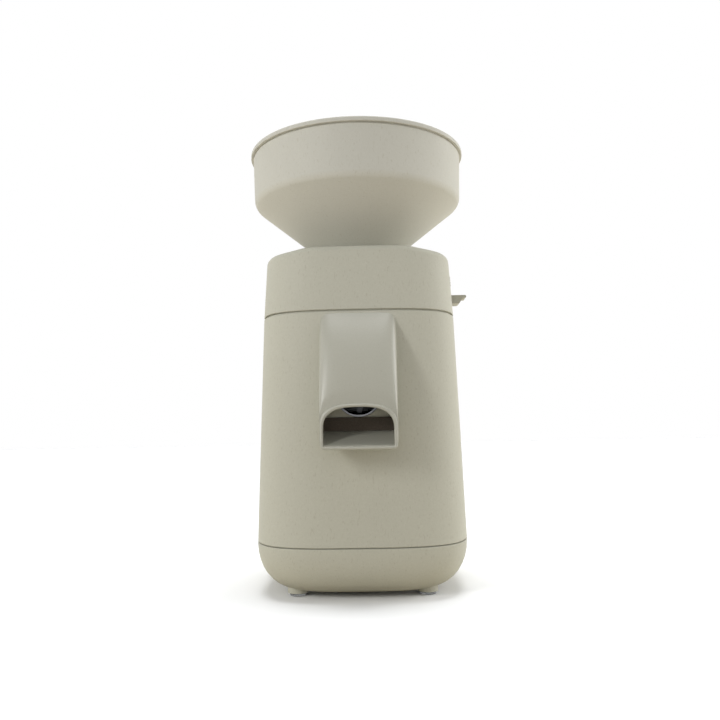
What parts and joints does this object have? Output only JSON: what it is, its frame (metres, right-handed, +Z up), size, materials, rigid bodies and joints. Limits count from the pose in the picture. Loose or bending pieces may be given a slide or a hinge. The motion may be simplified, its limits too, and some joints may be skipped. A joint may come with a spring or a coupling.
{
  "type": "electric grain mill",
  "caption": "Upright countertop grain mill: round lidded hopper on a soft-square tapered housing, hooded flour spout in front, fineness lever at the side, stone grinding set inside.",
  "frame": {"origin": "centre of the footprint box on the table, under the feet", "axes": "+Z up, -Y towards the spout and the user, +X towards the fineness lever"},
  "size_m": [0.1793, 0.1956, 0.355],
  "materials": {
    "composite": "matte moulded, fine speckle",
    "spout_cream": "satin moulded",
    "pad_rubber": "soft translucent grey",
    "steel": "machined",
    "zinc_steel": "zinc plated",
    "aluminium": "die cast, satin",
    "millstone": "bonded corundum, dressed",
    "felt": "pressed felt",
    "black_plastic": "fine moulded",
    "dark_acetal": "moulded",
    "magnet": "sintered ferrite",
    "copper": "enamelled copper",
    "carbon": "pressed carbon",
    "board_green": "lacquered laminate",
    "capacitor_blue": "plastic sleeve"
  },
  "bodies": {
    "housing": {"base_pan": "composite", "foot_pads": "pad_rubber", "body_shell": "composite", "head_shell": "composite", "tie_screws": "steel", "spout": "spout_cream", "spout_screws": "steel", "milling_chamber": "aluminium", "shaft_seal": "felt", "chamber_cover": "aluminium", "cover_screws": "steel", "guide_pins": "steel", "carrier_springs": "steel", "ring_retainer": "aluminium", "retainer_screws": "steel", "motor_can": "zinc_steel", "motor_magnets": "magnet", "lower_bracket": "aluminium", "upper_bracket": "aluminium", "motor_screws": "steel", "through_bolts": "steel", "bearing_outer_rings": "steel", "brush_holders": "black_plastic", "carbon_brushes": "carbon", "brush_springs": "steel", "rectifier_board": "board_green", "board_screws": "steel", "rectifier_block": "black_plastic", "filter_capacitor": "capacitor_blue", "switch_body": "black_plastic", "cord_gland": "black_plastic", "gland_nut": "black_plastic"},
    "hopper": {"hopper": "composite"},
    "lid": {"hopper_lid": "composite"},
    "adjuster": {"adjusting_ring": "dark_acetal", "adjusting_lever": "composite", "lever_screws": "steel"},
    "upper_mill": {"upper_stone": "millstone", "stone_carrier": "aluminium"},
    "rotor": {"motor_shaft": "steel", "bearing_inner_rings": "steel", "cooling_fan": "black_plastic", "commutator": "copper", "armature_stack": "zinc_steel", "armature_windings": "copper", "stone_hub": "aluminium", "drive_key": "steel", "lower_stone": "millstone", "feed_cone": "steel"},
    "rocker": {"switch_rocker": "black_plastic"}
  },
  "joints": [
    {"name": "hopper_lift", "type": "slide", "parent": "housing", "child": "hopper", "axis": [0, 0, 1], "range_m": [0, 0.06]},
    {"name": "lid_lift", "type": "slide", "parent": "hopper", "child": "lid", "axis": [0, 0, 1], "range_m": [0, 0.04]},
    {"name": "fineness_turn", "type": "hinge", "parent": "housing", "child": "adjuster", "pos_m": [0, 0.00816, 0.22], "axis": [0, 0, 1], "range_deg": [-10, 30]},
    {"name": "stone_lift", "type": "slide", "parent": "housing", "child": "upper_mill", "axis": [0, 0, 1], "range_m": [-0.0001666, 0.0005], "deforming": ["carrier_springs"]},
    {"name": "mill_spin", "type": "hinge", "parent": "housing", "child": "rotor", "pos_m": [0, 0.00816, 0.22], "axis": [0, 0, 1], "continuous": true},
    {"name": "switch_rock", "type": "hinge", "parent": "housing", "child": "rocker", "pos_m": [0, 0.08549, 0.0999], "axis": [1, 0, 0], "range_deg": [0, 16]}
  ],
  "couplings": [
    {"joint": "fineness_turn", "follows": "stone_lift", "rad_per_m": 1047.2}
  ]
}
